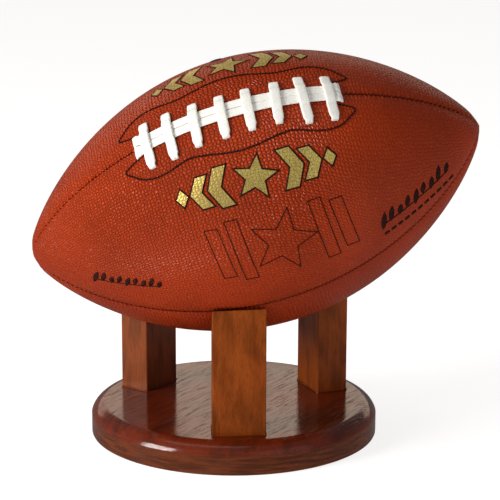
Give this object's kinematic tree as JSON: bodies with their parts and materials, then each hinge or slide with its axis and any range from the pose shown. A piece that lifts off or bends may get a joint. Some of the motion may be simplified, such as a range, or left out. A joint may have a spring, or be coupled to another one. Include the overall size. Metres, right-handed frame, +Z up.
{
  "type": "football display stand",
  "caption": "Round wooden display stand with upright posts planed to cradle a laced leather football, which lifts off.",
  "frame": {"origin": "centre of the stand's underside, on the surface it stands on", "axes": "+Z up, +X along the ball towards its raised end, -Y towards the viewer and the front post"},
  "size_m": [0.2734, 0.1811, 0.2398],
  "materials": {
    "base_wood": "dark walnut under satin-gloss lacquer",
    "post_wood": "warm walnut, vertical grain, satin lacquer",
    "felt": "dark green felt",
    "screw_steel": "zinc plated",
    "ball_leather": "pebbled reddish-brown composite leather, soft sheen",
    "lining_canvas": "undyed canvas",
    "tongue_leather": "plain split leather",
    "bladder_rubber": "thin black rubber",
    "valve_rubber": "black rubber",
    "lace_white": "off-white woven lace, textured"
  },
  "bodies": {
    "stand": {"base_disc": "base_wood", "felt_pad": "felt", "post_front": "post_wood", "post_left": "post_wood", "post_right": "post_wood", "screw_front_a": "screw_steel", "screw_front_b": "screw_steel", "screw_left_a": "screw_steel", "screw_left_b": "screw_steel", "screw_right_a": "screw_steel", "screw_right_b": "screw_steel"},
    "football": {"panel_front": "ball_leather", "panel_top": "ball_leather", "panel_rear": "ball_leather", "panel_under": "ball_leather", "lining_front": "lining_canvas", "lining_top": "lining_canvas", "lining_rear": "lining_canvas", "lining_under": "lining_canvas", "lace_tongue": "tongue_leather", "bladder": "bladder_rubber", "valve": "valve_rubber", "lace": "lace_white"}
  },
  "joints": [
    {"name": "football_lift", "type": "slide", "parent": "stand", "child": "football", "axis": [0, 0, 1], "range_m": [0, 0.15]}
  ]
}
